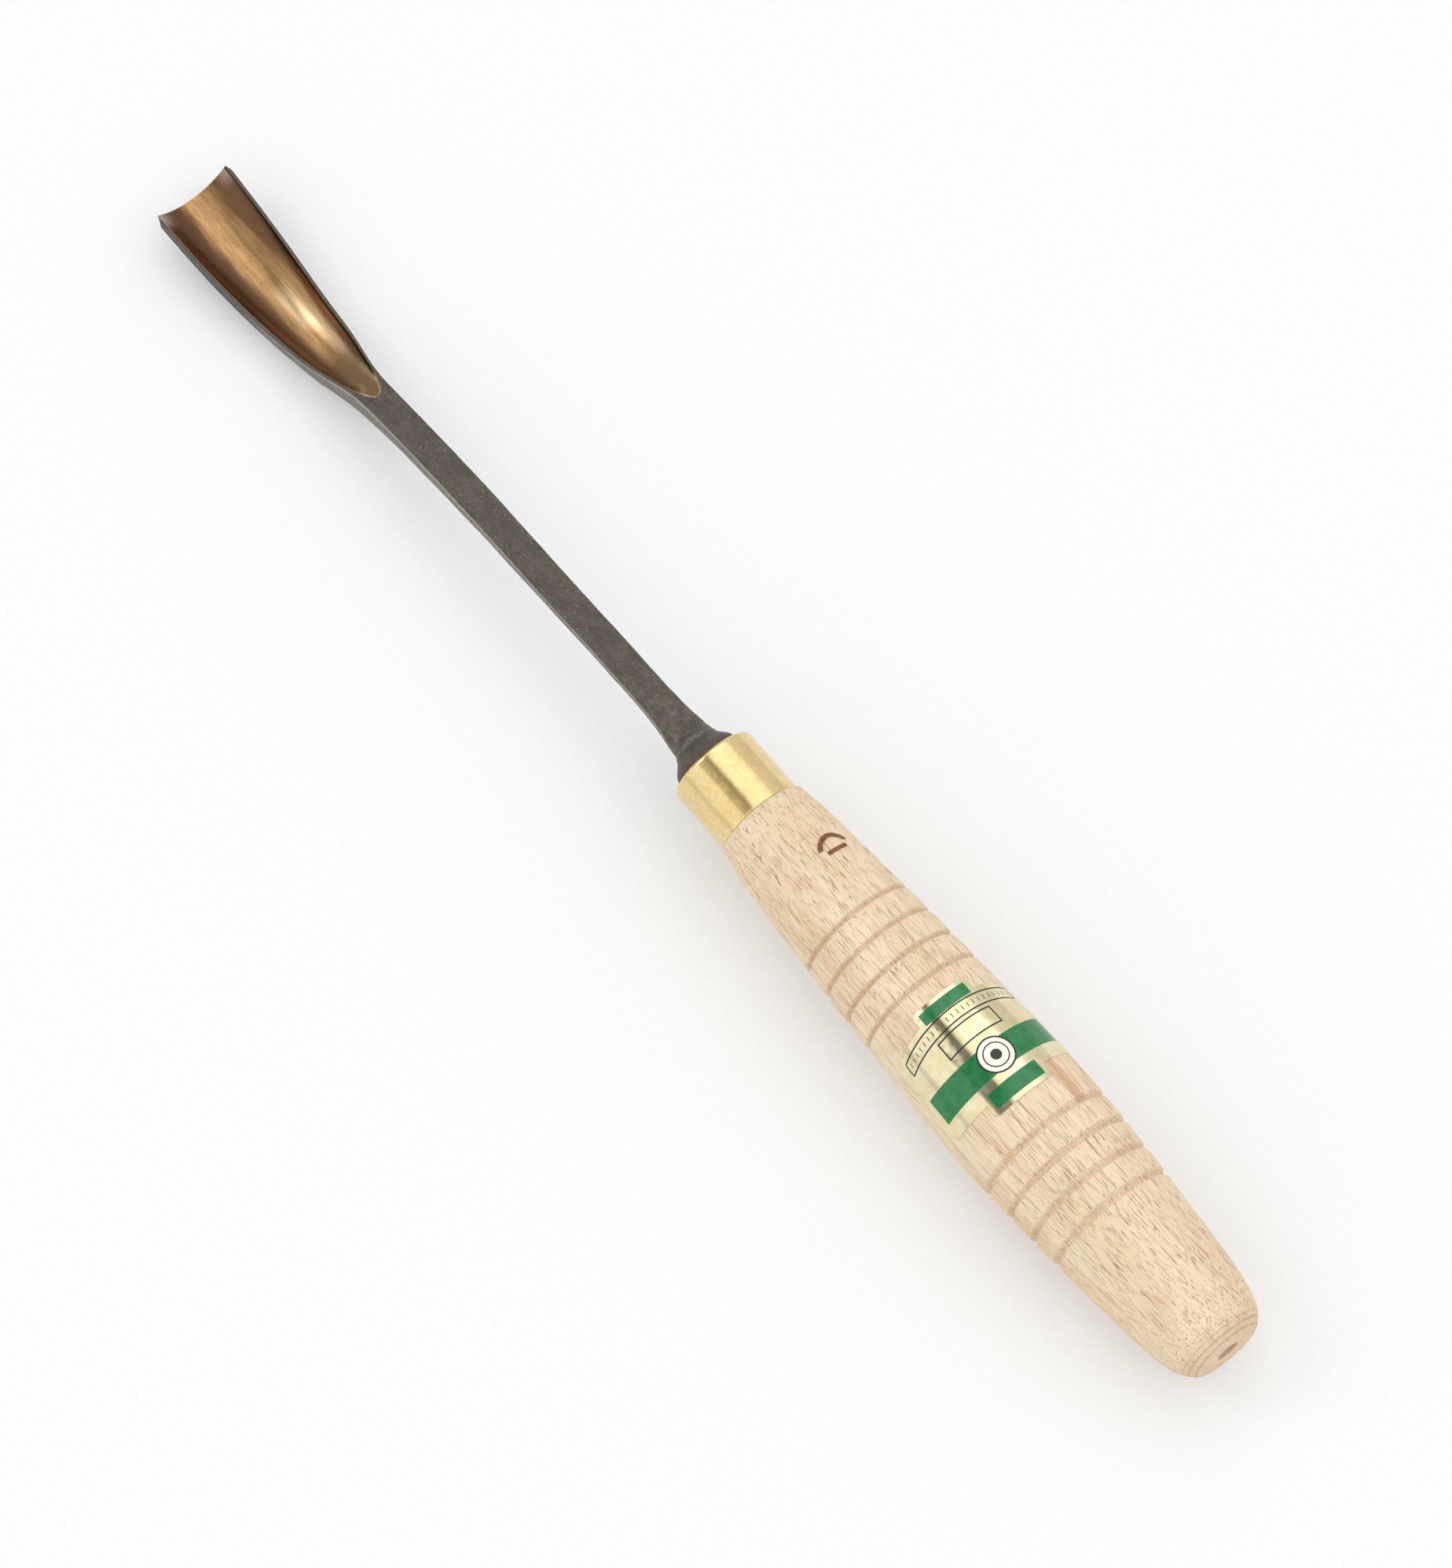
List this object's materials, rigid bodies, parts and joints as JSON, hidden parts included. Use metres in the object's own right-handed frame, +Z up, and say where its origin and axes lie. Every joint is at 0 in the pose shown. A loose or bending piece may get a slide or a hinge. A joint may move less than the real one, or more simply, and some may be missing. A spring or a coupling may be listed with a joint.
{
  "type": "carving gouge",
  "caption": "Long-bent wood-carving gouge: steel blade with a hollow flute and ground cutting edge, brass ferrule, grooved beech handle and foil label.",
  "frame": {"origin": "centre of the base of the box around the tool, as it lies on a bench on the handle's belly and the blade's belly", "axes": "+X towards the cutting edge, along the bench under the handle's axis; +Z up, out of the open side of the flute; +Y across"},
  "size_m": [0.2686, 0.025, 0.0252],
  "materials": {
    "beech": "fine-sanded beech, dry, with ray flecks",
    "ferrule_brass": "satin, faint mottling",
    "forged_steel": "dark forge scale, rough",
    "flute_steel": "polished, amber lacquer, brushed along the tool",
    "edge_steel": "freshly ground, satin",
    "foil_label": "pale gold foil with green bands"
  },
  "bodies": {
    "root": {"handle": "beech", "ferrule": "ferrule_brass", "blade": "forged_steel", "label": "foil_label"}
  },
  "joints": []
}
